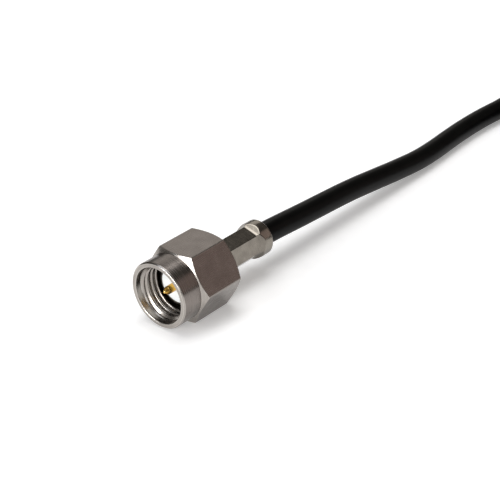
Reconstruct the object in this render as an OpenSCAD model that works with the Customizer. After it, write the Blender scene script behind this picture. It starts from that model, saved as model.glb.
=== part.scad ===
// Coaxial jumper: a screw-on plug at each end of a short thin coaxial cable.
// Units are millimetres. The near plug's axis is the Y axis and its mating side faces -Y.
// The origin lies on that axis, in the plane where the two halves of a joined pair meet.

/* [Coupling nut] */
// Width across the flats of the hexagon
hex_af = 8; // [7.9:0.05:9]
// Length of the nut
nut_length = 8.5; // [8.2:0.1:10]
// How far the nut's front stands ahead of the reference plane
nut_lead = 2.8; // [2.4:0.1:3]
// Diameter of the round collar ahead of the hexagon
collar_d = 7.7; // [7.4:0.05:7.8]
// Length of the collar, from the front face to the foot of the hexagon's chamfer
collar_length = 2.6; // [1.5:0.1:4]
// Diameter of the nut's rear face, inside the chamfer
rear_face_d = 7.6; // [7.2:0.05:7.9]
// Angle of the hexagon's chamfers to the nut's faces
chamfer_angle = 30; // [20:1:40]
// Width of the broken edge round the front of the collar
edge_break = 0.15; // [0.05:0.01:0.2]
// Inside diameter of the internal thread's crests
thread_minor_d = 5.7; // [5.5:0.01:5.75]
// Diameter of the smooth mouth ahead of the thread
mouth_d = 6.5; // [6.4:0.05:6.8]
// Depth of the smooth mouth
mouth_depth = 0.7; // [0.5:0.05:0.9]
// Width of the broken edge round the mouth
mouth_break = 0.06; // [0.03:0.01:0.1]
// Length of the lead-in chamfer between the mouth and the thread's crests
thread_lead_in = 0.4; // [0.3:0.05:0.6]
// Diameter of the relief groove behind the thread
relief_d = 6.5; // [6.4:0.05:6.8]
// Length of the relief groove
relief_length = 2.1; // [1.6:0.05:2.3]
// Gap round the barrel that the nut turns on
nut_gap = 0.05; // [0.02:0.01:0.1]
// Gap between the nut's inner step and the shoulder of the body
step_gap = 0.3; // [0.15:0.05:0.5]

/* [Plug body] */
// Outside diameter of the outer contact tube
tube_d = 4.56; // [4.5:0.01:4.59]
// Inside diameter of the outer contact tube, which holds the insulator
tube_bore = 4.1; // [3.9:0.02:4.2]
// Length of the outer contact tube, from the reference plane to the gasket
tube_length = 1.95; // [1.8:0.05:2.2]
// Diameter of the barrel that the nut turns on
barrel_d = 5.9; // [5.8:0.05:6.1]
// How far the barrel stands out behind the nut
barrel_overhang = 0.3; // [0.1:0.05:0.6]
// Thickness of the wall behind the insulator
back_wall = 1.2; // [0.8:0.1:1.6]
// Outside diameter of the crimp stem over its ridges
stem_d = 2.1; // [2:0.05:2.3]
// Bore of the crimp stem
stem_bore = 1.6; // [1.55:0.01:1.7]
// Length of the crimp stem
stem_length = 5.3; // [4:0.1:6]
// Number of ridges on the crimp stem
ridge_count = 9; // [4:1:12]
// Depth of the grooves between the ridges
ridge_depth = 0.1; // [0.05:0.01:0.14]

/* [Retaining ring and gasket] */
// Distance from the shoulder of the body to the retaining ring
ring_setback = 1.3; // [0.8:0.1:1.6]
// Thickness of the retaining ring along the axis
ring_width = 0.45; // [0.3:0.05:0.6]
// Depth of the ring's groove in the barrel
ring_groove_depth = 0.42; // [0.35:0.01:0.5]
// How far the ring stands out of the barrel
ring_proud = 0.26; // [0.18:0.01:0.35]
// Gap between the ring and the floors and walls of its grooves
ring_gap = 0.04; // [0.02:0.01:0.08]
// Opening angle of the ring's gap
ring_opening = 50; // [30:5:80]
// Thickness of the gasket along the axis
gasket_width = 0.5; // [0.4:0.05:0.8]
// Width of the gasket from its bore to its rim
gasket_section = 0.35; // [0.3:0.05:0.5]
// Gap between the gasket and the crests of the nut's thread
gasket_gap = 0.05; // [0.02:0.01:0.1]

/* [Centre contact and insulator] */
// Diameter of the pin ahead of the reference plane
pin_d = 0.92; // [0.9:0.01:0.94]
// Length of the pin ahead of the reference plane
pin_length = 1.85; // [1.7:0.05:2.2]
// Length of the pin's taper
pin_taper = 0.5; // [0.3:0.05:0.7]
// Diameter of the pin's blunt end
pin_tip_d = 0.26; // [0.15:0.01:0.4]
// Diameter of the contact inside the insulator
contact_d = 1.27; // [1.2:0.01:1.4]
// Diameter of the contact's rear flange
contact_flange_d = 1.55; // [1.5:0.01:1.8]
// Thickness of the contact's rear flange
contact_flange_width = 0.5; // [0.3:0.05:0.8]
// Depth of the solder cup
cup_depth = 2.2; // [1.5:0.1:3]
// Gap round the conductor in the solder cup
cup_gap = 0.03; // [0.01:0.01:0.06]
// Diameter of the solder hole in the side of the cup
solder_hole_d = 0.4; // [0.3:0.05:0.5]

/* [Crimp ferrule] */
// Outside diameter of the ferrule's round end
ferrule_d = 4.25; // [4:0.05:4.5]
// Inside diameter of the ferrule's round end
ferrule_bore = 3.25; // [3:0.05:3.4]
// Length of the ferrule
ferrule_length = 7.8; // [7:0.1:9]
// Width across the flats of the crimp
crimp_af = 3.4; // [3.2:0.05:3.6]
// Length of the crimp's flats
crimp_length = 5.7; // [4.8:0.1:6.2]
// Length over which each flat runs out to the round end
crimp_runout = 0.8; // [0.6:0.1:1.2]
// Turn of the crimp's flats about the axis
crimp_turn = 14; // [-30:1:30]
// Rounding of the ferrule's outer rear edge
ferrule_round = 0.25; // [0.1:0.05:0.4]
// Chamfer of the ferrule's inner rear edge
ferrule_lead_in = 0.15; // [0.05:0.05:0.2]

/* [Cable] */
// Diameter of the cable over its jacket
cable_d = 2.7; // [2.6:0.05:2.9]
// Diameter of the dielectric
dielectric_d = 1.5; // [1.45:0.01:1.53]
// Diameter of the stranded conductor
conductor_d = 0.48; // [0.45:0.01:0.55]
// Thickness of the braid under the ferrule
braid_thickness = 0.2; // [0.15:0.01:0.25]
// Gap between the end of the stem and the end of the jacket
jacket_gap = 0.7; // [0.5:0.05:1]
// Radius of the coil at the middle of its turns
coil_radius = 13.5; // [13:0.1:16]
// Width of the tie round the coil
tie_width = 4; // [3:0.5:6]
// Thickness of the tie
tie_thickness = 0.3; // [0.2:0.05:0.5]

/* [Hidden] */
$fn = 96;

// Places along the near plug's axis
shoulder_y = tube_length + gasket_width;
nut_rear_y = nut_length - nut_lead;
barrel_end_y = nut_rear_y + barrel_overhang;
insulator_end_y = barrel_end_y - back_wall;
ring_y = shoulder_y + ring_setback;
stem_end_y = barrel_end_y + stem_length;
jacket_end_y = stem_end_y + jacket_gap;
crimp_end_y = barrel_end_y + crimp_length;
ferrule_end_y = barrel_end_y + ferrule_length;

// Radii that follow their neighbours
nut_bore_r = barrel_d / 2 + nut_gap;
gasket_r = thread_minor_d / 2 - gasket_gap;
gasket_land_r = gasket_r - gasket_section;
nut_groove_r = barrel_d / 2 + ring_proud + ring_gap;
ring_groove_r = barrel_d / 2 - ring_groove_depth;
crimp_bore_r = stem_d / 2 + braid_thickness;
cup_r = conductor_d / 2 + cup_gap;

// The cable rests on the surface that carries the nut's lowest flat
floor_z = -hex_af / 2;
coil_z = floor_z + tie_thickness + cable_d / 2;
coil_layer = cable_d * sin(60);
coil_centre = [coil_radius + cable_d / 2, 78];
// Reference plane of the far plug, beside the coil
far_place = [28.35, 44.2, 0];
cable_sides = 8;
// Radius that gives the eight-sided tube the section area of a round one
cable_ring_r = cable_d / 2 * sqrt(2 * PI / (cable_sides * sin(360 / cable_sides)));
// Middle of the cable from the near plug to the coil
lead_route = [
    [0, 12, 0], [0, 13.8, 0], [0, 17, -0.15], [0, 21, -0.42], [0, 26, -0.7],
    [0, 31, -1.03], [0, 36, -1.55], [0, 41, -2.1], [0, 46, -2.5], [-0.2, 50, -2.63],
    [-0.5, 54, -2.65], [-0.7, 58, -2.65], [-0.7, 62.5, -2.65], [-0.4, 67, -2.62],
    [-0.1, 73, -2.45], [0, 78, -2.35]
];
// Middle of the cable from the coil to the far plug
tail_route = [
    [28.35, 78, 0], [28.35, 75, 0.14], [28.35, 72, 0.34], [28.35, 69, 0.38],
    [28.35, 65, 0.22], [28.35, 61, 0.05], [28.35, 58, 0], [28.35, 56.2, 0]
];

// Turns a shape made along +Z so that it lies along +Y
module along_axis() {
    rotate([-90, 0, 0]) children();
}

// Turned part: the points are [radius, place along the axis]
module turned(points) {
    along_axis() rotate_extrude() polygon(points);
}

// Turned part with a round hole right through it
module turned_tube(points, bore_r) {
    difference() {
        turned(points);
        along_axis() translate([0, 0, -nut_lead]) cylinder(r = bore_r, h = ferrule_end_y + nut_lead);
    }
}

// Carries a piece of the near plug over to the far plug
module at_far_end() {
    translate(far_place) children();
}

module nut_blank() {
    corner_r = hex_af / 2 / cos(30);
    front_rise = (corner_r - collar_d / 2) * tan(chamfer_angle);
    rear_rise = (corner_r - rear_face_d / 2) * tan(chamfer_angle);
    foot_y = collar_length - nut_lead;
    intersection() {
        along_axis() translate([0, 0, -nut_lead]) cylinder(r = corner_r, h = nut_length, $fn = 6);
        turned([
            [0, -nut_lead],
            [collar_d / 2 - edge_break, -nut_lead],
            [collar_d / 2, -nut_lead + edge_break],
            [collar_d / 2, foot_y],
            [corner_r, foot_y + front_rise],
            [corner_r, nut_rear_y - rear_rise],
            [rear_face_d / 2, nut_rear_y],
            [0, nut_rear_y]
        ]);
    }
}

module nut_bore() {
    past = 1;
    relief_end_y = shoulder_y - step_gap;
    relief_y = relief_end_y - relief_length;
    groove_y = ring_y - ring_gap;
    groove_end_y = ring_y + ring_width + ring_gap;
    turned([
        [0, -nut_lead - past],
        [mouth_d / 2 + mouth_break + past, -nut_lead - past],
        [mouth_d / 2, -nut_lead + mouth_break],
        [mouth_d / 2, -nut_lead + mouth_depth],
        [thread_minor_d / 2, -nut_lead + mouth_depth + thread_lead_in],
        [thread_minor_d / 2, relief_y],
        [relief_d / 2, relief_y],
        [relief_d / 2, relief_end_y],
        [nut_bore_r, relief_end_y],
        [nut_bore_r, groove_y],
        [nut_groove_r, groove_y],
        [nut_groove_r, groove_end_y],
        [nut_bore_r, groove_end_y],
        [nut_bore_r, nut_rear_y + past],
        [0, nut_rear_y + past]
    ]);
}

module coupling_nut() {
    color("#8b857c") difference() {
        nut_blank();
        nut_bore();
    }
}

// Split ring, open at the top, that keeps the nut on the body
module retaining_ring() {
    inner_r = ring_groove_r + ring_gap;
    outer_r = barrel_d / 2 + ring_proud;
    color("#b08d57") along_axis() translate([0, 0, ring_y])
        rotate([0, 0, ring_opening / 2 - 90])
        rotate_extrude(angle = 360 - ring_opening)
        translate([inner_r, 0]) square([outer_r - inner_r, ring_width]);
}

module gasket() {
    round_off = gasket_width / 5;
    color("#3a3a3a") turned_tube([
        [0, tube_length],
        [gasket_r - round_off, tube_length],
        [gasket_r, tube_length + round_off],
        [gasket_r, shoulder_y - round_off],
        [gasket_r - round_off, shoulder_y],
        [0, shoulder_y]
    ], gasket_land_r);
}

// Outside of the body, from the outer contact tube to the end of the ridged crimp stem
module body_outline() {
    ridge_pitch = stem_length / ridge_count;
    root_r = stem_d / 2 - ridge_depth;
    tube_break = 0.06;
    turned(concat(
        [
            [0, 0],
            [tube_d / 2 - tube_break, 0],
            [tube_d / 2, tube_break],
            [tube_d / 2, tube_length],
            [gasket_land_r, tube_length],
            [gasket_land_r, shoulder_y],
            [barrel_d / 2, shoulder_y],
            [barrel_d / 2, ring_y],
            [ring_groove_r, ring_y],
            [ring_groove_r, ring_y + ring_width + ring_gap],
            [barrel_d / 2, ring_y + ring_width + ring_gap],
            [barrel_d / 2, barrel_end_y]
        ],
        [for (i = [0:ridge_count - 1]) each [
            [root_r, barrel_end_y + i * ridge_pitch],
            [stem_d / 2, barrel_end_y + (i + 0.7) * ridge_pitch],
            [stem_d / 2, barrel_end_y + (i + 0.9) * ridge_pitch],
            [root_r, barrel_end_y + (i + 1) * ridge_pitch]
        ]],
        [[0, stem_end_y]]
    ));
}

module plug_body() {
    past = 1;
    color("#9c968c") difference() {
        body_outline();
        along_axis() translate([0, 0, -past]) cylinder(d = tube_bore, h = insulator_end_y + past);
        along_axis() cylinder(d = stem_bore, h = stem_end_y + past);
    }
}

module insulator() {
    past = 1;
    color("#eef0ee") difference() {
        along_axis() cylinder(d = tube_bore, h = insulator_end_y);
        along_axis() translate([0, 0, -past]) cylinder(d = contact_d, h = insulator_end_y + 2 * past);
        along_axis() translate([0, 0, insulator_end_y - contact_flange_width])
            cylinder(d = contact_flange_d, h = contact_flange_width + past);
    }
}

module contact_pin() {
    flange_y = insulator_end_y - contact_flange_width;
    cup_y = insulator_end_y - cup_depth;
    color("#c9a24a") difference() {
        turned([
            [0, -pin_length],
            [pin_tip_d / 2, -pin_length],
            [pin_d / 2, -pin_length + pin_taper],
            [pin_d / 2, 0],
            [contact_d / 2, 0],
            [contact_d / 2, flange_y],
            [contact_flange_d / 2, flange_y],
            [contact_flange_d / 2, insulator_end_y],
            [0, insulator_end_y]
        ]);
        turned([
            [0, cup_y - cup_r],
            [cup_r, cup_y],
            [cup_r, insulator_end_y + cup_r],
            [0, insulator_end_y + cup_r]
        ]);
        translate([0, cup_y + solder_hole_d, 0]) cylinder(d = solder_hole_d, h = contact_flange_d);
    }
}

// The piece of the crimping die that presses one flat, with the slope of the flat's run-out
module crimp_die() {
    depth = (ferrule_d - crimp_af) / 2;
    translate([0, 0, -ferrule_d / 2]) linear_extrude(ferrule_d) polygon([
        [crimp_af / 2, barrel_end_y - depth],
        [crimp_af / 2, crimp_end_y],
        [crimp_af / 2 + 2 * depth, crimp_end_y + 2 * crimp_runout],
        [ferrule_d, crimp_end_y + 2 * crimp_runout],
        [ferrule_d, barrel_end_y - depth]
    ]);
}

module crimp_ferrule() {
    past = 1;
    round_y = ferrule_end_y - ferrule_round;
    color("#a29c91") difference() {
        turned(concat(
            [[0, barrel_end_y], [ferrule_d / 2, barrel_end_y]],
            [for (a = [0:15:90]) [
                ferrule_d / 2 - ferrule_round * (1 - cos(a)),
                round_y + ferrule_round * sin(a)
            ]],
            [[0, ferrule_end_y]]
        ));
        for (i = [0:5])
            rotate([0, -crimp_turn - i * 60, 0]) crimp_die();
        turned([
            [0, barrel_end_y - past],
            [crimp_bore_r, barrel_end_y - past],
            [crimp_bore_r, stem_end_y],
            [ferrule_bore / 2, crimp_end_y + crimp_runout],
            [ferrule_bore / 2, ferrule_end_y - ferrule_lead_in],
            [ferrule_bore / 2 + ferrule_lead_in + past, ferrule_end_y + past],
            [0, ferrule_end_y + past]
        ]);
    }
}

// Braid drawn over the crimp stem, from under the jacket
module braid() {
    color("#b9b4aa") difference() {
        turned([
            [0, barrel_end_y],
            [crimp_bore_r, barrel_end_y],
            [crimp_bore_r, stem_end_y],
            [dielectric_d / 2 + braid_thickness, jacket_end_y],
            [0, jacket_end_y]
        ]);
        body_outline();
        along_axis() cylinder(d = stem_bore, h = ferrule_end_y);
    }
}

module dielectric() {
    color("#f2efe6") along_axis() translate([0, 0, insulator_end_y]) difference() {
        cylinder(d = dielectric_d, h = jacket_end_y - insulator_end_y);
        translate([0, 0, -cup_r]) cylinder(d = conductor_d, h = jacket_end_y - insulator_end_y + 2 * cup_r);
    }
}

module centre_conductor() {
    start_y = insulator_end_y - cup_depth;
    color("#b87333") along_axis() translate([0, 0, start_y])
        cylinder(d = conductor_d, h = jacket_end_y - start_y);
}

function unit(v) = v / norm(v);
// Direction of a route at its point i, from the points on both sides
function heading(route, i) =
    unit(route[min(i + 1, len(route) - 1)] - route[max(i - 1, 0)]);
// Ring of points round the route at its point i
function cable_ring(route, i) =
    let (side = unit(cross(heading(route, i), [0, 0, 1])), up = cross(side, heading(route, i)))
    [for (k = [0:cable_sides - 1])
        let (a = (k + 0.5) * 360 / cable_sides)
        route[i] + cable_ring_r * (cos(a) * side + sin(a) * up)];

// Plain tube along a route
module cable_along(route) {
    last = len(route) - 1;
    rings = [for (i = [0:last]) each cable_ring(route, i)];
    polyhedron(
        points = rings,
        faces = concat(
            [[for (k = [0:cable_sides - 1]) k]],
            [for (i = [0:last - 1], k = [0:cable_sides - 1])
                let (next = (k + 1) % cable_sides, a = i * cable_sides, b = a + cable_sides)
                [a + k, b + k, b + next, a + next]],
            [[for (k = [cable_sides - 1:-1:0]) last * cable_sides + k]]
        )
    );
}

module cable_lead() {
    color("#141414") cable_along(lead_route);
}

module cable_tail() {
    color("#141414") cable_along(tail_route);
}

// Outline round a bundle of three turns, two below and one in the groove above them
function bundle_outline(grow) = [
    for (turn = [[cable_d / 2, 0, -90], [0, coil_layer, 30], [-cable_d / 2, 0, 150]])
    for (a = [0:30:120])
    [turn[0], turn[1]] + (cable_d / 2 + grow) * [cos(turn[2] + a), sin(turn[2] + a)]
];

module cable_coil() {
    color("#141414") translate([coil_centre[0], coil_centre[1], coil_z])
        rotate_extrude() translate([coil_radius, 0]) polygon(bundle_outline(0));
}

module coil_tie() {
    color("#d8d8d4")
        translate([coil_centre[0] - tie_width / 2, coil_centre[1] + coil_radius, coil_z])
        rotate([90, 0, 90]) linear_extrude(tie_width) difference() {
            polygon(bundle_outline(tie_thickness));
            polygon(bundle_outline(0));
        }
}

coupling_nut();
retaining_ring();
gasket();
plug_body();
insulator();
contact_pin();
crimp_ferrule();
braid();
dielectric();
centre_conductor();
cable_lead();
cable_coil();
coil_tie();
cable_tail();
at_far_end() coupling_nut();  // far_coupling_nut
at_far_end() retaining_ring();  // far_retaining_ring
at_far_end() gasket();  // far_gasket
at_far_end() plug_body();  // far_plug_body
at_far_end() insulator();  // far_insulator
at_far_end() contact_pin();  // far_contact_pin
at_far_end() crimp_ferrule();  // far_crimp_ferrule
at_far_end() braid();  // far_braid
at_far_end() dielectric();  // far_dielectric
at_far_end() centre_conductor();  // far_centre_conductor
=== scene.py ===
import math
import bmesh
import bpy
from mathutils import Matrix, Vector


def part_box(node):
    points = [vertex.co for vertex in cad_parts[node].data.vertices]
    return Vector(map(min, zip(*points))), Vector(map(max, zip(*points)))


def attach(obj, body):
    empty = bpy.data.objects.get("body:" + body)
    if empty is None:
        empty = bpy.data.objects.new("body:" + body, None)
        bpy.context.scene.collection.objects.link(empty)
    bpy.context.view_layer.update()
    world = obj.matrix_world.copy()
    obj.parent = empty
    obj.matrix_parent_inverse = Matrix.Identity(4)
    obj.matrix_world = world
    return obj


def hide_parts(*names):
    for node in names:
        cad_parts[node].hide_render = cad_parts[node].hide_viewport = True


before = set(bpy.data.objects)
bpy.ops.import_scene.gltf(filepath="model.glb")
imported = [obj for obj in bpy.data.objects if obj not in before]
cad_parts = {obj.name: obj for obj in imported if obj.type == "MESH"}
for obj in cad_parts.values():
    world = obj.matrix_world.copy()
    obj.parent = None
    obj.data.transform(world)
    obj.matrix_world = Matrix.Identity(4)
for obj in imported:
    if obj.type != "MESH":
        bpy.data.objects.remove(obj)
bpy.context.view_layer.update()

scene = bpy.context.scene
mm = 0.001

# the far plug is the near one again, moved over as the frame has it
nearPlace = Vector((0, 0, 0))
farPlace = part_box("far_insulator")[0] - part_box("insulator")[0]
plugs = {"": nearPlace, "far_": farPlace}
nutLow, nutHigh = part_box("coupling_nut")
floorHeight = nutLow.z


cameraView = {"azimuth": 41.44, "elevation": 28.87, "roll": 2.17,
              "aim": (0.0, 12.09, -1.04), "distance": 146.75, "lens": 93.6}


def addCamera(view):
    turn = math.radians(view["azimuth"])
    rise = math.radians(view["elevation"])
    back = Vector((math.sin(turn) * math.cos(rise), -math.cos(turn) * math.cos(rise), math.sin(rise)))
    camera = bpy.data.objects.new("camera", bpy.data.cameras.new("camera"))
    camera.data.lens = view["lens"]
    camera.data.sensor_width = 36
    camera.data.clip_start = 0.005
    camera.data.clip_end = 5
    roll = Matrix.Rotation(-math.radians(view["roll"]), 4, back)
    facing = roll @ back.to_track_quat("Z", "Y").to_matrix().to_4x4()
    camera.matrix_world = Matrix.Translation(Vector(view["aim"]) * mm + back * view["distance"] * mm) @ facing
    scene.collection.objects.link(camera)
    scene.camera = camera


addCamera(cameraView)
print("camera placed")


def toLinear(hexColour):
    parts = [int(hexColour[i:i + 2], 16) / 255 for i in (1, 3, 5)]
    return tuple(p / 12.92 if p <= 0.04045 else ((p + 0.055) / 1.055) ** 2.4 for p in parts) + (1.0,)


def addNode(tree, kind, settings=None, links=None, stops=None, **sockets):
    # settings are the node's own properties, links its inputs from other nodes,
    # stops the places and colours of a ramp, and sockets its fixed inputs
    node = tree.nodes.new(kind)
    for key, value in (settings or {}).items():
        setattr(node, key, value)
    for key, value in sockets.items():
        node.inputs[key.replace("_", " ")].default_value = value
    for key, source in (links or {}).items():
        tree.links.new(source, node.inputs[key])
    for i, (place, colour) in enumerate(stops or []):
        marks = node.color_ramp.elements
        mark = marks[i] if i < len(marks) else marks.new(place)
        mark.position = place
        mark.color = toLinear(colour)
    return node


def startMaterial(name):
    material = bpy.data.materials.new(name)
    material.use_nodes = True
    tree = material.node_tree
    tree.nodes.clear()
    shader = tree.nodes.new("ShaderNodeBsdfPrincipled")
    output = tree.nodes.new("ShaderNodeOutputMaterial")
    tree.links.new(shader.outputs["BSDF"], output.inputs["Surface"])
    return material, tree, shader


def plugSpace(tree):
    # millimetres from the plug's own axis, which is Y; the far plug is folded onto the near one
    place = addNode(tree, "ShaderNodeTexCoord").outputs["Object"]
    inMm = addNode(tree, "ShaderNodeVectorMath", {"operation": "SCALE"}, {0: place}, Scale=1 / mm)
    parts = addNode(tree, "ShaderNodeSeparateXYZ", links={0: inMm.outputs[0]})
    across = addNode(tree, "ShaderNodeMath", {"operation": "WRAP"}, {0: parts.outputs["X"]})
    across.inputs[1].default_value = farPlace.x / mm / 2
    across.inputs[2].default_value = -farPlace.x / mm / 2
    return addNode(tree, "ShaderNodeCombineXYZ", links={
        "X": across.outputs[0], "Y": parts.outputs["Y"], "Z": parts.outputs["Z"]}).outputs[0]


def turnedRings(tree, place, spacing):
    # noise over the radius and the place along the axis alone draws rings, as a lathe tool does
    parts = addNode(tree, "ShaderNodeSeparateXYZ", links={0: place})
    sideways = addNode(tree, "ShaderNodeCombineXYZ", links={"X": parts.outputs["X"], "Z": parts.outputs["Z"]})
    radius = addNode(tree, "ShaderNodeVectorMath", {"operation": "LENGTH"}, {0: sideways.outputs[0]})
    flat = addNode(tree, "ShaderNodeCombineXYZ", links={"X": radius.outputs["Value"], "Y": parts.outputs["Y"]})
    rings = addNode(tree, "ShaderNodeTexNoise", {"noise_dimensions": "2D"}, {"Vector": flat.outputs[0]},
                    Scale=1 / spacing, Detail=2.0, Roughness=0.6)
    return rings.outputs["Fac"]


glossSpread = 0.06  # roughness varies this much either way


def machinedMetal(name, dark, light, rubbedAndHighlight, roughness, ringSpacing, ringDepth, patchSize=1.4, stretch=0.0,
                  drawn=False):
    material, tree, shader = startMaterial(name)
    place = plugSpace(tree)
    relief = turnedRings(tree, place, ringSpacing)
    if drawn:
        # the flats of drawn bar keep fine scratches along the bar, 0.1 mm apart and some 2 mm long
        stretched = addNode(tree, "ShaderNodeMapping", links={"Vector": place}, Scale=(9, 0.5, 9))
        scratches = addNode(tree, "ShaderNodeTexNoise", links={"Vector": stretched.outputs[0]},
                            Scale=1.0, Detail=3.0, Roughness=0.65)
        onFlat = addNode(tree, "ShaderNodeAttribute", {"attribute_name": "onFlat"})
        faint = addNode(tree, "ShaderNodeMapRange", links={"Value": scratches.outputs["Fac"]},
                        To_Min=0.3, To_Max=0.7)
        relief = addNode(tree, "ShaderNodeMix", {"data_type": "FLOAT"},
                         {0: onFlat.outputs["Fac"], 2: relief, 3: faint.outputs[0]}).outputs[0]
    stains = addNode(tree, "ShaderNodeTexNoise", links={"Vector": place}, Scale=1 / patchSize, Detail=3.0)
    colour = addNode(tree, "ShaderNodeValToRGB", links={"Fac": stains.outputs["Fac"]},
                     stops=[(0.3, dark), (0.7, light)])
    shade = addNode(tree, "ShaderNodeValToRGB", links={"Fac": relief}, stops=[(0.25, "#ececec"), (0.75, "#ffffff")])
    shaded = addNode(tree, "ShaderNodeMix", {"data_type": "RGBA", "blend_type": "MULTIPLY"},
                     {6: colour.outputs[0], 7: shade.outputs[0]}, Factor=1.0)
    # broken edges are lighter: partly rubbed wear, partly a painted highlight along the edge
    edge = addNode(tree, "ShaderNodeAttribute", {"attribute_name": "brokenEdge"})
    finished = addNode(tree, "ShaderNodeMix", {"data_type": "RGBA"}, {0: edge.outputs["Fac"], 6: shaded.outputs[2]})
    finished.inputs[7].default_value = toLinear(rubbedAndHighlight)
    tree.links.new(finished.outputs[2], shader.inputs["Base Color"])
    shader.inputs["Metallic"].default_value = 1.0
    gloss = addNode(tree, "ShaderNodeMapRange", links={"Value": relief},
                    To_Min=roughness - glossSpread, To_Max=roughness + glossSpread)
    tree.links.new(gloss.outputs[0], shader.inputs["Roughness"])
    bump = addNode(tree, "ShaderNodeBump", links={"Height": relief}, Strength=1.0, Distance=ringDepth * mm)
    tree.links.new(bump.outputs[0], shader.inputs["Normal"])
    # the rings blur reflections across themselves, so highlights stretch along the axis
    around = addNode(tree, "ShaderNodeVectorMath", {"operation": "CROSS_PRODUCT"}, {0: place})
    around.inputs[1].default_value = (0, 1, 0)
    tangent = addNode(tree, "ShaderNodeVectorTransform", {"vector_type": "VECTOR", "convert_from": "OBJECT",
                                                          "convert_to": "WORLD"}, {0: around.outputs[0]})
    tree.links.new(tangent.outputs[0], shader.inputs["Tangent"])
    shader.inputs["Anisotropic Rotation"].default_value = 0.25
    if drawn:
        grooved = addNode(tree, "ShaderNodeMapRange", links={"Value": onFlat.outputs["Fac"]},
                          To_Min=stretch, To_Max=0.0)
        tree.links.new(grooved.outputs[0], shader.inputs["Anisotropic"])
    else:
        shader.inputs["Anisotropic"].default_value = stretch
    return material


# passivated stainless steel, turned from hexagon bar: warm grey, satin, with rings round the collar
stainlessTurned = machinedMetal("stainless_turned", "#7c7570", "#88817c", "#8f8984", 0.27, 0.20, 0.0011,
                                stretch=0.75, drawn=True)
# the same steel in the thread, the rim and the body, made lighter as painted light: a lit copy that stands in for
# the light these faces catch
stainlessPaintedLit = machinedMetal("stainless_painted_lit", "#9f9993", "#afa9a3", "#bab5af", 0.24, 0.12, 0.0012)
# and again, darker, as painted shade where it lies deep in the bore
stainlessPaintedShade = machinedMetal("stainless_painted_shade", "#625d58", "#736d67", "#736d67", 0.34, 0.12, 0.0015)
# nickel plate on a drawn and crimped copper tube: smoother than the steel, with a yellow cast
nickelPlate = machinedMetal("nickel_plate", "#807a72", "#918b82", "#a49e95", 0.19, 0.22, 0.001, patchSize=0.9)
# hard gold plate on turned beryllium copper: deep yellow, fairly smooth
goldPlate = machinedMetal("gold_plate", "#cf9a3a", "#e6bd62", "#f0cf86", 0.22, 0.10, 0.0012, patchSize=0.6)
# phosphor bronze strip, bare and springy, dull with a tarnish
springBronze = machinedMetal("spring_bronze", "#8c6239", "#a8794a", "#b98a5a", 0.35, 0.10, 0.001)
# tinned copper strands: dull silver
tinnedCopper = machinedMetal("tinned_copper", "#9a9892", "#b6b4ae", "#c4c2bc", 0.42, 0.16, 0.01)


def mouldedPlastic(name, dark, light, roughness, grainSize, grainDepth, ior, shine=0.5, clear=0.0):
    # clear is the share of light that sinks in and comes out again, as in a waxy plastic
    material, tree, shader = startMaterial(name)
    place = addNode(tree, "ShaderNodeTexCoord").outputs["Object"]
    grain = addNode(tree, "ShaderNodeTexNoise", links={"Vector": place},
                    Scale=1 / (grainSize * mm), Detail=4.0, Roughness=0.6)
    patches = addNode(tree, "ShaderNodeTexNoise", links={"Vector": place},
                      Scale=1 / (6 * grainSize * mm), Detail=2.0)
    colour = addNode(tree, "ShaderNodeValToRGB", links={"Fac": patches.outputs["Fac"]},
                     stops=[(0.3, dark), (0.7, light)])
    tree.links.new(colour.outputs[0], shader.inputs["Base Color"])
    gloss = addNode(tree, "ShaderNodeMapRange", links={"Value": grain.outputs["Fac"]},
                    To_Min=roughness - glossSpread, To_Max=roughness + glossSpread)
    tree.links.new(gloss.outputs[0], shader.inputs["Roughness"])
    bump = addNode(tree, "ShaderNodeBump", links={"Height": grain.outputs["Fac"]},
                   Strength=1.0, Distance=grainDepth * mm)
    tree.links.new(bump.outputs[0], shader.inputs["Normal"])
    shader.inputs["IOR"].default_value = ior
    shader.inputs["Specular IOR Level"].default_value = shine
    shader.inputs["Subsurface Weight"].default_value = clear
    shader.inputs["Subsurface Radius"].default_value = (0.4 * mm, 0.4 * mm, 0.4 * mm)
    shader.inputs["Subsurface Scale"].default_value = 1.0
    return material


# extruded PVC with carbon black: black and satin, with the faint unevenness of the die
pvcExtruded = mouldedPlastic("pvc_extruded", "#050505", "#0a0a09", 0.33, 0.35, 0.003, 1.53, shine=0.07)
# machined PTFE: cold white, waxy, lets a little light in
ptfeMachined = mouldedPlastic("ptfe_machined", "#f2f5f4", "#fafcfb", 0.45, 0.25, 0.002, 1.36, clear=0.2)
# extruded polyethylene: milky
polyethyleneExtruded = mouldedPlastic("polyethylene_extruded", "#dcd9cf", "#e8e5db", 0.4, 0.4, 0.002, 1.51,
                                      clear=0.2)
# moulded silicone rubber: dark and matt
siliconeMoulded = mouldedPlastic("silicone_moulded", "#1a1a1a", "#242424", 0.6, 0.2, 0.003, 1.41)
# moulded nylon: off-white, faintly clear, with a fine spark-eroded grain
nylonMoulded = mouldedPlastic("nylon_moulded", "#d6d6d0", "#e4e4de", 0.38, 0.12, 0.004, 1.53, clear=0.15)
print("materials made")


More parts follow.
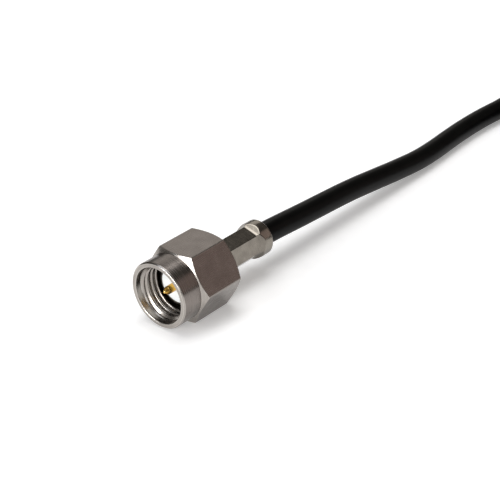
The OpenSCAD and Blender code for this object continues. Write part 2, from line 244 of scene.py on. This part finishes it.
cableSettings = {"diameter": 2.7, "coilCentre": (14.85, 78), "coilRadius": 13.5, "turnAngle": 900, "angleStep": 12,
                 "inward": (278, 345), "lift": (588, 668), "hump": (640, 668, 712, 745), "humpHeight": 0.38}
tieSettings = {"width": 4.0, "thickness": 0.3, "step": 10}
leadRoute = [(0, 12, 0), (0, 13.8, 0), (0, 17, -0.15), (0, 21, -0.42), (0, 26, -0.7), (0, 31, -1.03),
             (0, 36, -1.55), (0, 41, -2.1), (0, 46, -2.5), (-0.2, 50, -2.63), (-0.5, 54, -2.645),
             (-0.7, 58, -2.645), (-0.7, 62.5, -2.645), (-0.4, 67, -2.62), (-0.1, 73, -2.45)]
tailRoute = [(28.35, 75, 0.14), (28.35, 72, 0.34), (28.35, 69, 0.38), (28.35, 65, 0.22),
             (28.35, 61, 0.05), (28.35, 58, 0), (28.35, 56.2, 0)]


def ease(value, start, end):
    share = min(max((value - start) / (end - start), 0), 1)
    return share * share * (3 - 2 * share)


def coilPoint(angle, settings):
    # outer turn, then the inner one beside it, then half a turn in the groove on top
    d = settings["diameter"]
    outer = settings["coilRadius"] + d / 2
    lift = math.radians(60 * ease(angle, *settings["lift"]))
    radius = outer - d * ease(angle, *settings["inward"])
    if angle > 360:
        radius = outer - d * math.cos(lift)
    up, top, over, down = settings["hump"]
    height = d * math.sin(lift) + settings["humpHeight"] * (ease(angle, up, top) - ease(angle, over, down))
    around = math.radians(180 - angle)
    return coilCentre + Vector((radius * math.cos(around), radius * math.sin(around), height)) * mm


def cableCurve(name, points, diameter, material):
    curve = bpy.data.curves.new(name, "CURVE")
    curve.dimensions = "3D"
    curve.bevel_depth = diameter / 2
    curve.bevel_resolution = 10
    curve.resolution_u = 6
    curve.use_fill_caps = True
    spline = curve.splines.new("BEZIER")
    spline.bezier_points.add(len(points) - 1)
    for knot, point in zip(spline.bezier_points, points):
        knot.co = point
        knot.handle_left_type = knot.handle_right_type = "AUTO"
    piece = bpy.data.objects.new(name, curve)
    scene.collection.objects.link(piece)
    piece.data.materials.append(material)
    return piece


coilCentre = Vector(cableSettings["coilCentre"] + (0,)) * mm
coilCentre.z = floorHeight + (tieSettings["thickness"] + cableSettings["diameter"] / 2) * mm
turns = range(0, cableSettings["turnAngle"] + 1, cableSettings["angleStep"])
cablePoints = [Vector(p) * mm for p in leadRoute]
cablePoints += [coilPoint(angle, cableSettings) for angle in turns]
cablePoints += [Vector(p) * mm for p in tailRoute]
cable = cableCurve("cable", cablePoints, cableSettings["diameter"] * mm, pvcExtruded)
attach(cable, "connector")
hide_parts("cable_lead", "cable_coil", "cable_tail")
print("cable laid")


hair = 0.01  # millimetres: nearer than this counts as touching
weldDistance = 1e-7


def spunMesh(profile, steps, closed=False):
    # profile points are (radius, place along the axis) in millimetres
    bm = bmesh.new()
    points = [bm.verts.new((radius * mm, along * mm, 0)) for radius, along in profile]
    lines = [bm.edges.new(pair) for pair in zip(points, points[1:])]
    if closed:
        lines.append(bm.edges.new((points[-1], points[0])))
    bmesh.ops.spin(bm, geom=points + lines, cent=(0, 0, 0), axis=(0, 1, 0), dvec=(0, 0, 0),
                   angle=2 * math.pi, steps=steps, use_merge=True)
    bmesh.ops.remove_doubles(bm, verts=bm.verts, dist=weldDistance)
    bmesh.ops.recalc_face_normals(bm, faces=bm.faces)
    return bm


def breakEdges(bm, width, sharper=25, segments=2, longerThan=0):
    # rounds the edges that are sharper than an angle in degrees and longer than a length in millimetres
    brokenEdge = bm.faces.layers.float.get("brokenEdge") or bm.faces.layers.float.new("brokenEdge")
    edges = [e for e in bm.edges if len(e.link_faces) == 2 and e.calc_length() > longerThan * mm
             and math.degrees(e.calc_face_angle()) > sharper]
    made = bmesh.ops.bevel(bm, geom=edges, offset=width * mm, offset_type="OFFSET", segments=segments,
                           profile=0.5, affect="EDGES", material=-1, clamp_overlap=longerThan == 0)
    for f in made["faces"]:
        f[brokenEdge] = 1.0


sharpAngle = 12  # degrees between faces, above which an edge stays sharp


def finishPiece(name, bm, place, material, body, replaced):
    mesh = bpy.data.meshes.new(name)
    bm.to_mesh(mesh)
    bm.free()
    mesh.transform(Matrix.Translation(place))
    mesh.shade_smooth()
    mesh.set_sharp_from_angle(angle=math.radians(sharpAngle))
    piece = bpy.data.objects.new(name, mesh)
    scene.collection.objects.link(piece)
    piece.data.materials.append(material)
    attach(piece, body)
    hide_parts(replaced)
    return piece


nutSettings = {"collarDiameter": 7.7, "collarLength": 2.6, "chamferAngle": 30, "rearFace": 7.6,
               "mouth": 6.5, "mouthDepth": 0.7, "mouthBreak": 0.06, "leadIn": 0.4,
               "threadMajor": 6.35, "threadMinor": 5.7, "pitch": 0.7056, "threadStart": 0.43, "crestRound": 0.16,
               "threadEnd": 0.05, "relief": 6.5, "reliefEnd": 2.15, "runningBore": 6.0,
               "groove": 6.5, "grooveStart": 3.71, "grooveEnd": 4.24,
               "frontBreak": 0.15, "edgeBreak": 0.04, "cornerBreak": 0.14, "steps": 180,
               "rootOverlap": 0.04, "stepsPerTurn": 120}


def mouthRadius(along, s):
    # the smooth mouth, then the cone that leads in to the thread's crests
    depth = along - nutLow.y / mm - s["mouthDepth"]
    return s["mouth"] / 2 - max(0, depth) * (s["mouth"] - s["threadMinor"]) / 2 / s["leadIn"]


def nutBlank(s):
    lead = nutLow.y / mm
    rear = nutHigh.y / mm
    flat = (nutHigh.z - nutLow.z) / 2 / mm
    corner = flat / math.cos(math.radians(30))
    collar = s["collarDiameter"] / 2
    slope = math.tan(math.radians(s["chamferAngle"]))
    foot = lead + s["collarLength"]
    mouth = s["mouth"] / 2
    major = s["threadMajor"] / 2
    minor = s["threadMinor"] / 2
    leadIn = lead + s["mouthDepth"]
    # the corner rings stand 1 mm inside the ends until they are pressed
    profile = [(mouth + s["mouthBreak"], lead), (collar - s["frontBreak"], lead), (collar, lead + s["frontBreak"]),
               (collar, foot), (corner, foot + 1), (corner, rear - 1), (s["rearFace"] / 2, rear),
               (s["runningBore"] / 2, rear), (s["runningBore"] / 2, s["grooveEnd"]),
               (s["groove"] / 2, s["grooveEnd"]), (s["groove"] / 2, s["grooveStart"]),
               (s["runningBore"] / 2, s["grooveStart"]), (s["runningBore"] / 2, s["reliefEnd"]),
               (s["relief"] / 2, s["reliefEnd"]), (s["relief"] / 2, s["threadEnd"]),
               (major, s["threadEnd"]), (major, leadIn + s["leadIn"] * (mouth - major) / (mouth - minor)),
               (mouth, leadIn), (mouth, lead + s["mouthBreak"])]
    bm = spunMesh(profile, s["steps"], closed=True)
    # the corner rings are pressed onto the hexagon, and back along the chamfer's cone as they come in
    for v in bm.verts:
        radius = math.hypot(v.co.x, v.co.z) / mm
        # only the two corner rings stand this far out
        if radius > corner - hair:
            around = math.degrees(math.atan2(v.co.z, v.co.x)) % 60
            pressed = flat / math.cos(math.radians(around - 30))
            v.co.x *= pressed / radius
            v.co.z *= pressed / radius
            if v.co.y / mm < (lead + rear) / 2:
                v.co.y = (foot + (pressed - collar) * slope) * mm
            else:
                v.co.y = (rear - (pressed - s["rearFace"] / 2) * slope) * mm
    # the hexagon's long edges first, as they are rounder than the turned ones
    bm.normal_update()
    breakEdges(bm, s["cornerBreak"], sharper=50, segments=3, longerThan=2)
    breakEdges(bm, s["edgeBreak"])
    for v in bm.verts:
        v.co.z = min(max(v.co.z, -flat * mm), flat * mm)
    bm.normal_update()
    # drawn flats are marked for their lengthwise grain
    # the bore, the end faces and the chamfers take the lighter copy of the steel, a painted highlight
    onFlat = bm.faces.layers.float.new("onFlat")
    for f in bm.faces:
        middle = f.calc_center_median()
        far = math.hypot(middle.x, middle.z) / mm
        f[onFlat] = 1.0 if far > flat - hair and abs(f.normal.y) < 0.1 else 0.0
        inward = far < mouth + 0.1 and f.normal.dot(Vector((middle.x, 0, middle.z))) < 0
        f.material_index = 1 if inward or abs(f.normal.y) > 0.5 else 0
    return bm


def threadRidge(s):
    # one tooth of a 60 degree thread with a rounded crest, carried round as a screw and cut back by the mouth
    lead = nutLow.y / mm
    major = s["threadMajor"] / 2
    minor = s["threadMinor"] / 2
    base = s["pitch"] * 7 / 8
    crest = base - 2 * (major - minor) * math.tan(math.radians(30))
    start = lead + s["threadStart"]
    bend = crest / 2 - s["crestRound"] * math.tan(math.radians(30))
    half = [(minor + s["crestRound"] * (1 - math.cos(a)), bend + s["crestRound"] * math.sin(a))
            for a in (math.radians(step) for step in range(0, 61, 10))]
    half += [(major, base / 2), (major + s["rootOverlap"], base / 2)]
    section = [(radius, -along) for radius, along in reversed(half)] + half
    perTurn = s["stepsPerTurn"]
    turnCount = (s["threadEnd"] - start + base / 2) / s["pitch"]
    steps = int(turnCount * perTurn)
    bm = bmesh.new()
    points = [bm.verts.new((radius * mm, (start + along) * mm, 0)) for radius, along in section]
    lines = [bm.edges.new(pair) for pair in zip(points, points[1:] + points[:1])]
    bmesh.ops.spin(bm, geom=points + lines, cent=(0, 0, 0), axis=(0, 1, 0),
                   dvec=(0, s["pitch"] / perTurn * mm, 0),
                   angle=2 * math.pi * steps / perTurn, steps=steps)
    bmesh.ops.recalc_face_normals(bm, faces=bm.faces)
    for f in bm.faces:
        f.material_index = 1
    for v in bm.verts:
        radius = math.hypot(v.co.x, v.co.z) / mm
        least = mouthRadius(v.co.y / mm, s) + hair
        if radius < least:
            v.co.x *= least / radius
            v.co.z *= least / radius
    # the relief groove cuts the ridge off square
    cut = bmesh.ops.bisect_plane(bm, geom=bm.verts[:] + bm.edges[:] + bm.faces[:], dist=1e-8,
                                 plane_co=(0, s["threadEnd"] * mm, 0), plane_no=(0, 1, 0), clear_outer=True)
    rim = [e for e in cut["geom_cut"] if isinstance(e, bmesh.types.BMEdge)]
    bmesh.ops.contextual_create(bm, geom=rim)
    return bm


def joinMeshes(first, second):
    # adds the second mesh's faces to the first
    spare = bpy.data.meshes.new("spare")
    second.to_mesh(spare)
    second.free()
    first.from_mesh(spare)
    bpy.data.meshes.remove(spare)
    return first


def couplingNut(prefix, place, body):
    bm = joinMeshes(nutBlank(nutSettings), threadRidge(nutSettings))
    piece = finishPiece(prefix + "threaded_nut", bm, place, stainlessTurned, body,
                        prefix + "coupling_nut")
    # the second slot is the lighter copy of the steel, painted light for the bore, rim and end faces
    piece.data.materials.append(stainlessPaintedLit)


pinSettings = {"diameter": 0.92, "length": 1.85, "taper": 0.5, "tip": 0.26, "contact": 1.27,
               "flange": 1.55, "flangeWidth": 0.5, "edgeBreak": 0.035, "steps": 64}


def centrePin(prefix, place, body):
    s = pinSettings
    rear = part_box("insulator")[1].y / mm
    profile = [(0, -s["length"]), (s["tip"] / 2, -s["length"]), (s["diameter"] / 2, -s["length"] + s["taper"]),
               (s["diameter"] / 2, 0), (s["contact"] / 2, 0), (s["contact"] / 2, rear - s["flangeWidth"]),
               (s["flange"] / 2, rear - s["flangeWidth"]), (s["flange"] / 2, rear), (0, rear)]
    bm = spunMesh(profile, s["steps"])
    breakEdges(bm, s["edgeBreak"], segments=3)
    finishPiece(prefix + "gold_pin", bm, place, goldPlate, body, prefix + "contact_pin")


insulatorSettings = {"diameter": 4.1, "bore": 1.27, "flangeBore": 1.55, "flangeWidth": 0.5,
                     "edgeBreak": 0.03, "steps": 128}


def whiteInsulator(prefix, place, body):
    s = insulatorSettings
    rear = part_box("insulator")[1].y / mm
    profile = [(s["bore"] / 2, 0.0), (s["diameter"] / 2, 0.0), (s["diameter"] / 2, rear),
               (s["flangeBore"] / 2, rear), (s["flangeBore"] / 2, rear - s["flangeWidth"]),
               (s["bore"] / 2, rear - s["flangeWidth"])]
    bm = spunMesh(profile, s["steps"], closed=True)
    breakEdges(bm, s["edgeBreak"])
    finishPiece(prefix + "white_insulator", bm, place, ptfeMachined, body, prefix + "insulator")


bodySettings = {"tube": 4.56, "tubeBore": 4.1, "tubeLength": 1.95, "land": 4.9, "shoulder": 2.45,
                "barrel": 5.9, "ringPlace": 3.75, "ringWidth": 0.49, "ringFloor": 5.06,
                "stem": 2.1, "stemBore": 1.6, "ridges": 9, "ridgeDepth": 0.1, "stemLength": 5.3,
                "ridgeTop": (0.7, 0.9), "backWall": 1.2, "edgeBreak": 0.03, "steps": 128}


def plugBody(prefix, place, body):
    s = bodySettings
    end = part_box("plug_body")[1].y / mm
    barrelEnd = end - s["stemLength"]
    pitch = s["stemLength"] / s["ridges"]
    root = s["stem"] / 2 - s["ridgeDepth"]
    profile = [(s["tubeBore"] / 2, 0.0), (s["tube"] / 2, 0.0), (s["tube"] / 2, s["tubeLength"]),
               (s["land"] / 2, s["tubeLength"]), (s["land"] / 2, s["shoulder"]), (s["barrel"] / 2, s["shoulder"]),
               (s["barrel"] / 2, s["ringPlace"]), (s["ringFloor"] / 2, s["ringPlace"]),
               (s["ringFloor"] / 2, s["ringPlace"] + s["ringWidth"]),
               (s["barrel"] / 2, s["ringPlace"] + s["ringWidth"]), (s["barrel"] / 2, barrelEnd)]
    rise, fall = s["ridgeTop"]
    for i in range(s["ridges"]):
        start = barrelEnd + i * pitch
        profile += [(root, start), (s["stem"] / 2, start + rise * pitch), (s["stem"] / 2, start + fall * pitch)]
    profile += [(root, end), (s["stemBore"] / 2, end), (s["stemBore"] / 2, barrelEnd - s["backWall"]),
                (s["tubeBore"] / 2, barrelEnd - s["backWall"])]
    bm = spunMesh(profile, s["steps"], closed=True)
    breakEdges(bm, s["edgeBreak"])
    # the body takes the darker copy of the steel, painted shade for its place deep in the bore
    finishPiece(prefix + "turned_body", bm, place, stainlessPaintedShade, body, prefix + "plug_body")


# bend is the share of the run-out that curves, and melt the width over which flat and round meet
ferruleSettings = {"diameter": 4.25, "bore": 3.25, "crimpFlats": 3.4, "crimpBore": 2.5, "crimpLength": 5.7,
                   "runout": 0.8, "stemLength": 5.3, "turn": 14, "bend": 0.4, "melt": 0.04, "round": 0.25,
                   "leadIn": 0.1, "leadInDepth": 0.12, "rowsBefore": 0.1, "rowsPast": 0.2,
                   "steps": 240, "rows": 36}


def crimpedFerrule(prefix, place, body):
    s = ferruleSettings
    low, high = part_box("crimp_ferrule")
    front = low.y / mm
    end = high.y / mm
    crimpEnd = front + s["crimpLength"]
    radius = s["diameter"] / 2
    # rows stand close together only where the flats run out
    runoutStart = crimpEnd - s["rowsBefore"]
    runoutEnd = crimpEnd + s["runout"] + s["rowsPast"]
    outside = [(radius, front + (runoutStart - front) * i / 4) for i in range(4)]
    outside += [(radius, runoutStart + (runoutEnd - runoutStart) * i / s["rows"]) for i in range(s["rows"])]
    outside += [(radius, runoutEnd), (radius, end - s["round"])]
    outside += [(radius - s["round"] * (1 - math.cos(a)), end - s["round"] + s["round"] * math.sin(a))
                for a in (math.radians(step) for step in range(10, 91, 10))]
    inside = [(s["bore"] / 2 + s["leadIn"], end), (s["bore"] / 2, end - s["leadInDepth"]),
              (s["bore"] / 2, crimpEnd + s["runout"]),
              (s["crimpBore"] / 2, front + s["stemLength"]), (s["crimpBore"] / 2, front)]
    bm = spunMesh(outside + inside, s["steps"], closed=True)
    flatDepth = radius - s["crimpFlats"] / 2
    for v in bm.verts:
        around = math.degrees(math.atan2(v.co.z, v.co.x)) - s["turn"]
        offFlat = math.radians((around + 30) % 60 - 30)
        distance = math.hypot(v.co.x, v.co.z) / mm
        along = v.co.y / mm
        # a soft bend where the flat starts to run out, then straight up to the round
        share = max(0, along - crimpEnd) / s["runout"]
        bend = s["bend"]
        climb = share ** 2 / (2 * bend) if share < bend else share - bend / 2
        plane = s["crimpFlats"] / 2 + climb / (1 - bend / 2) * flatDepth
        pressed = plane / math.cos(offFlat)
        # where the flat meets the round they melt into each other
        share = min(max(0.5 + (distance - pressed) / s["melt"] / 2, 0), 1)
        if distance > radius - hair and share > 0:
            pressed = distance + (pressed - distance) * share - s["melt"] * share * (1 - share)
            v.co.x *= pressed / distance
            v.co.z *= pressed / distance
    finishPiece(prefix + "crimped_ferrule", bm, place, nickelPlate, body,
                prefix + "crimp_ferrule")


def coilTie():
    s = tieSettings
    r = cableSettings["diameter"] / 2
    layer = cableSettings["diameter"] * math.sin(math.radians(60))
    outline = []
    for across, up, start in ((r, 0, -90), (0, layer, 30), (-r, 0, 150)):
        for step in range(0, 121, s["step"]):
            a = math.radians(start + step)
            outline.append((across + (r + s["thickness"]) * math.cos(a), up + (r + s["thickness"]) * math.sin(a)))
    middle = coilCentre + Vector((0, cableSettings["coilRadius"] * mm, 0))
    bm = bmesh.new()
    ring = [bm.verts.new(middle + Vector((-s["width"] / 2, across, up)) * mm) for across, up in outline]
    edges = [bm.edges.new(pair) for pair in zip(ring, ring[1:] + ring[:1])]
    made = bmesh.ops.extrude_edge_only(bm, edges=edges)["geom"]
    moved = [v for v in made if isinstance(v, bmesh.types.BMVert)]
    bmesh.ops.translate(bm, verts=moved, vec=(s["width"] * mm, 0, 0))
    bmesh.ops.recalc_face_normals(bm, faces=bm.faces)
    bmesh.ops.solidify(bm, geom=bm.faces[:], thickness=s["thickness"] * mm)
    bmesh.ops.recalc_face_normals(bm, faces=bm.faces)
    return finishPiece("strap_tie", bm, nearPlace, nylonMoulded, "connector", "coil_tie")


for prefix, place in plugs.items():
    nutBody = "far_nut" if prefix else "nut"
    couplingNut(prefix, place, nutBody)
    centrePin(prefix, place, "connector")
    whiteInsulator(prefix, place, "connector")
    plugBody(prefix, place, "connector")
    crimpedFerrule(prefix, place, "connector")
tie = coilTie()
print("plugs and tie modelled")

# the pieces hidden inside keep the frame's shapes
hiddenFinish = {"retaining_ring": springBronze, "gasket": siliconeMoulded, "braid": tinnedCopper,
                "dielectric": polyethyleneExtruded, "centre_conductor": tinnedCopper}
for prefix in plugs:
    for name, material in hiddenFinish.items():
        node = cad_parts[prefix + name]
        node.data.materials.clear()
        node.data.materials.append(material)


def addFloor():
    material, tree, shader = startMaterial("pale_card")
    place = addNode(tree, "ShaderNodeTexCoord").outputs["Object"]
    fibre = addNode(tree, "ShaderNodeTexNoise", links={"Vector": place}, Scale=900.0, Detail=3.0)
    tone = addNode(tree, "ShaderNodeValToRGB", links={"Fac": fibre.outputs["Fac"]},
                   stops=[(0.3, "#f6f6f6"), (0.7, "#fcfcfc")])
    tree.links.new(tone.outputs[0], shader.inputs["Base Color"])
    shader.inputs["Roughness"].default_value = 0.9
    # lit a little from below, as a product table is, which thins the shadow
    shader.inputs["Emission Color"].default_value = (1, 1, 1, 1)
    shader.inputs["Emission Strength"].default_value = 0.28
    bm = bmesh.new()
    bmesh.ops.create_grid(bm, x_segments=1, y_segments=1, size=4)
    bmesh.ops.translate(bm, verts=bm.verts, vec=(0, 0, floorHeight))
    mesh = bpy.data.meshes.new("floor")
    bm.to_mesh(mesh)
    bm.free()
    floor = bpy.data.objects.new("floor", mesh)
    floor.data.materials.append(material)
    scene.collection.objects.link(floor)


# each panel: the way it lies from the plug, its distance, width and height in metres,
# its brightness and its colour
panels = {"overhead": ((-0.13, 0.12, 1), 0.6, 0.44, 0.44, 3.5, "#ffffff"),
          "front": ((-0.13, -0.95, 0.28), 0.6, 0.38, 0.17, 11.0, "#ffffff"),
          "highFront": ((-0.30, -0.65, 0.70), 0.6, 0.30, 0.22, 2.2, "#eef4ff"),
          "frontFill": ((0.36, -0.92, 0.16), 0.6, 0.32, 0.26, 2.6, "#ffffff"),
          "backLeft": ((-0.60, 0.64, 0.47), 0.7, 0.42, 0.30, 0.92, "#fffcf8"),
          "backRight": ((0.68, 0.64, 0.37), 0.7, 0.42, 0.44, 0.45, "#ffe6e0")}


def addPanel(name, direction, distance, width, height, brightness, colour):
    lamp = bpy.data.lights.new(name, "AREA")
    lamp.shape = "RECTANGLE"
    lamp.size = width
    lamp.size_y = height
    lamp.energy = brightness * math.pi * width * height
    lamp.color = toLinear(colour)[:3]
    panel = bpy.data.objects.new(name, lamp)
    way = Vector(direction).normalized()
    panel.matrix_world = Matrix.Translation(way * distance) @ way.to_track_quat("Z", "Y").to_matrix().to_4x4()
    panel.visible_camera = False
    scene.collection.objects.link(panel)


addFloor()
for name, panel in panels.items():
    addPanel(name, *panel)
world = bpy.data.worlds.new("studio")
world.use_nodes = True
world.node_tree.nodes["Background"].inputs["Color"].default_value = toLinear("#5c5955")
world.node_tree.nodes["Background"].inputs["Strength"].default_value = 1.0
scene.world = world
scene.view_settings.view_transform = "Standard"
print("floor and lights set")
